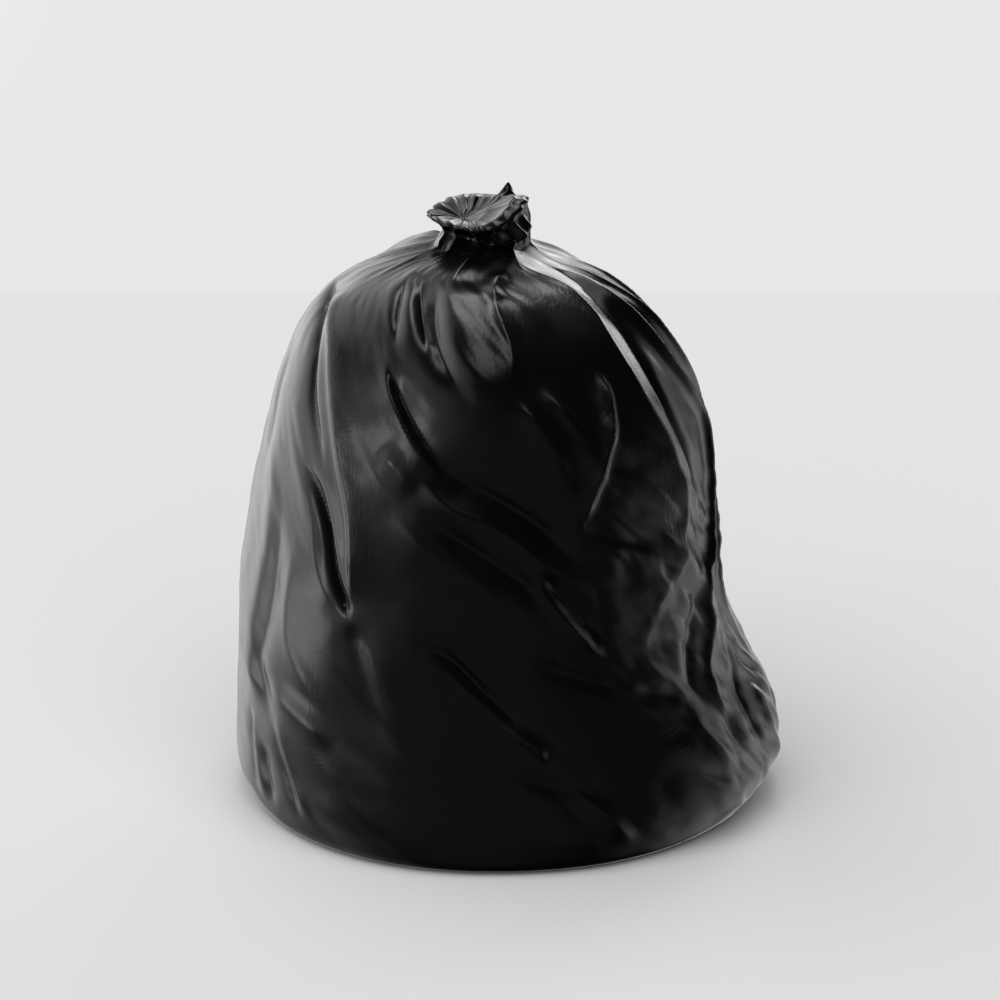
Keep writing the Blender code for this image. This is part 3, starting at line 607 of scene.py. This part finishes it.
def blackPolytheneFilm():
    # blown LDPE film with carbon black, 40 microns: near black, with a soft gloss that the blowing
    # leaves slightly uneven, and fine wrinkles where it was pulled and folded
    material, tree = newMaterial("blackPolytheneFilm")
    place = addNode(tree, "ShaderNodeTexCoord")
    crease = addNode(tree, "ShaderNodeAttribute", {"attribute_name": "creased"})
    output = addNode(tree, "ShaderNodeOutputMaterial")
    haze = addNode(tree, "ShaderNodeTexNoise", {"Scale": 1 / film["hazeSize"], "Detail": 3.0},
                   {"Vector": place.outputs["Object"]})
    glossiest, dullest = film["roughness"]
    low, high = film["hazeRange"]
    roughness = addNode(tree, "ShaderNodeMapRange",
                        {"From Min": low, "From Max": high, "To Min": glossiest, "To Max": dullest},
                        {"Value": haze.outputs[0]})
    across, along = 1 / film["wrinkleWidth"], 1 / film["wrinkleLength"]
    stretched = addNode(tree, "ShaderNodeMapping", {"Scale": (across, across, along)},
                        {"Vector": place.outputs["Object"]})
    wrinkles = addNode(tree, "ShaderNodeTexNoise", {"Scale": 1.0, "Detail": 4.0, "Roughness": 0.6},
                       {"Vector": stretched.outputs[0]})
    least, most = film["wrinkleShare"]
    depth = addNode(tree, "ShaderNodeMapRange",
                    {"From Min": 0.0, "From Max": 1.0, "To Min": least, "To Max": most},
                    {"Value": crease.outputs["Fac"]})
    bump = addNode(tree, "ShaderNodeBump", {"Distance": film["wrinkleDepth"]},
                   {"Height": wrinkles.outputs[0], "Strength": depth.outputs[0]})
    shader = addNode(tree, "ShaderNodeBsdfPrincipled",
                     {"Base Color": linear(film["colour"]), "IOR": film["ior"]},
                     {"Roughness": roughness.outputs[0], "Normal": bump.outputs[0]})
    tree.links.new(shader.outputs[0], output.inputs["Surface"])
    return material


def addSack():
    # the tied bag: one closed skin of film, padded out by what is in it
    grid, creases = filmGrid()
    mesh = closedMesh("filledSack", grid, (0, 0, 0), neck["dish"], {"creased": creases})
    piece = bpy.data.objects.new("filledSack", mesh)
    bpy.context.scene.collection.objects.link(piece)
    mesh.materials.append(blackPolytheneFilm())
    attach(piece, "root")
    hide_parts("bin_bag")
    print("sack:", len(mesh.polygons), "faces")


studio = {
    "floorBack": 2.15, "floorFront": -12.0, "floorHalfWidth": 12.0,
    "floorColour": "#a0a0a0", "floorRoughness": 0.95,
    "target": (0.0, 0.0, 0.295), "distance": 3.2, "elevation": 17.0, "lens": 115.2, "sensor": 36.0,
    # the broad light from the ceiling: from where, how wide in degrees, watts a square metre
    "ceilingFrom": (-0.1, -0.75, 1.0), "ceilingWidth": 80, "ceilingStrength": 4.7,
}
# the room's bright parts, in degrees: turn (0 at the camera, 90 at its right), height above the
# level, how far each reaches before it is dark, within what it is full, and how bright it is
roomLights = {
    "leftWindow": (-122, 20, 58, 10, 2.7), "leftGlow": (-64, 17, 42, 5, 0.9),
    "leftWall": (-112, -34, 46, 12, 0.5), "backWall": (180, -12, 40, 22, 0.79),
    "rightWindow": (156, 21, 23, 14, 3.6), "rightWall": (120, -26, 34, 12, 1.0),
    "rightFloor": (88, -34, 30, 8, 0.35), "rightGlow": (117, 3, 24, 8, 0.9),
    "cameraSide": (-20, -12, 66, 10, 0.15), "leftLamp": (-55, 15, 8, 3, 7.0),
    "lowLamp": (-80, -7, 13, 6, 4.0),
    "rightCorner": (86, -16, 30, 8, 0.4), "frontRight": (48, -12, 44, 10, 0.06),
    # a strip of skylights overhead, from the back wall to the front, dimmer towards the front
    "skylight1": (178, 59, 9.5, 2, 6.5), "skylight2": (177, 71, 9.5, 3, 5.5),
    "skylight3": (160, 83, 9, 3, 3.2), "skylight4": (20, 87, 9, 3, 2.0),
    "skylight5": (8, 77, 10, 4, 2.6), "skylight6": (6, 66, 10, 4, 2.2),
}
roomDark = 0.012  # how bright the rest of the room is


def paperFloor():
    # matt studio paper, pale and even
    material, tree = newMaterial("paperFloor")
    output = addNode(tree, "ShaderNodeOutputMaterial")
    shader = addNode(tree, "ShaderNodeBsdfPrincipled",
                     {"Base Color": linear(studio["floorColour"]),
                      "Roughness": studio["floorRoughness"], "Specular IOR Level": 0.0})
    tree.links.new(shader.outputs[0], output.inputs["Surface"])
    return material


def addFloor():
    # one wide sheet of paper, level with the base
    half, front, back = studio["floorHalfWidth"], studio["floorFront"], studio["floorBack"]
    mesh = bpy.data.meshes.new("paperFloor")
    mesh.from_pydata([(-half, front, 0), (half, front, 0), (half, back, 0), (-half, back, 0)], [],
                     [(0, 1, 2, 3)])
    mesh.materials.append(paperFloor())
    piece = bpy.data.objects.new("paperFloor", mesh)
    bpy.context.scene.collection.objects.link(piece)
    piece.visible_glossy = False  # the film reflects the room itself, also from below


def aimed(thing, place, target):
    # a lamp and a camera both look along their own -z, with y up
    thing.location = place
    thing.rotation_euler = (Vector(target) - Vector(place)).to_track_quat("-Z", "Y").to_euler()


def addCeiling():
    # lights the paper evenly, and isn't seen in the film
    lamp = bpy.data.lights.new("ceiling", "SUN")
    lamp.energy = studio["ceilingStrength"]
    lamp.angle = math.radians(studio["ceilingWidth"])
    piece = bpy.data.objects.new("ceiling", lamp)
    bpy.context.scene.collection.objects.link(piece)
    piece.visible_glossy = False
    aimed(piece, studio["ceilingFrom"], (0, 0, 0))


def facing(turn, height):
    # the unit vector towards a turn and a height, both in degrees
    turn, height = math.radians(turn), math.radians(height)
    return (math.sin(turn) * math.cos(height), -math.cos(turn) * math.cos(height), math.sin(height))


def addRoom():
    # the world: a dark room with bright parts, each fading smoothly with the angle from its middle
    world = bpy.data.worlds.new("room")
    bpy.context.scene.world = world
    world.use_nodes = True
    tree = world.node_tree
    tree.nodes.clear()
    direction = addNode(tree, "ShaderNodeTexCoord")
    total = addNode(tree, "ShaderNodeValue")
    total.outputs[0].default_value = roomDark
    for turn, height, reach, full, strength in roomLights.values():
        towards = addNode(tree, "ShaderNodeVectorMath",
                          {"operation": "DOT_PRODUCT", 1: facing(turn, height)},
                          {0: direction.outputs["Generated"]})
        light = addNode(tree, "ShaderNodeMapRange",
                        {"interpolation_type": "SMOOTHSTEP", "From Min": math.cos(math.radians(reach)),
                         "From Max": math.cos(math.radians(full)), "To Min": 0.0, "To Max": strength},
                        {"Value": towards.outputs["Value"]})
        total = addNode(tree, "ShaderNodeMath", {"operation": "ADD"},
                        {0: total.outputs[0], 1: light.outputs[0]})
    background = addNode(tree, "ShaderNodeBackground", {"Color": (1, 1, 1, 1)},
                         {"Strength": total.outputs[0]})
    output = addNode(tree, "ShaderNodeOutputWorld")
    tree.links.new(background.outputs[0], output.inputs[0])


def addCamera():
    # from straight in front, looking down at the target by the elevation
    data = bpy.data.cameras.new("camera")
    data.lens, data.sensor_width = studio["lens"], studio["sensor"]
    camera = bpy.data.objects.new("camera", data)
    bpy.context.scene.collection.objects.link(camera)
    slope = math.radians(studio["elevation"])
    away = Vector((0, -math.cos(slope), math.sin(slope))) * studio["distance"]
    aimed(camera, Vector(studio["target"]) + away, studio["target"])
    bpy.context.scene.camera = camera


addCamera()
addFloor()
addCeiling()
addRoom()
print("studio ready")
addSack()
bpy.context.scene.view_settings.view_transform = "Standard"
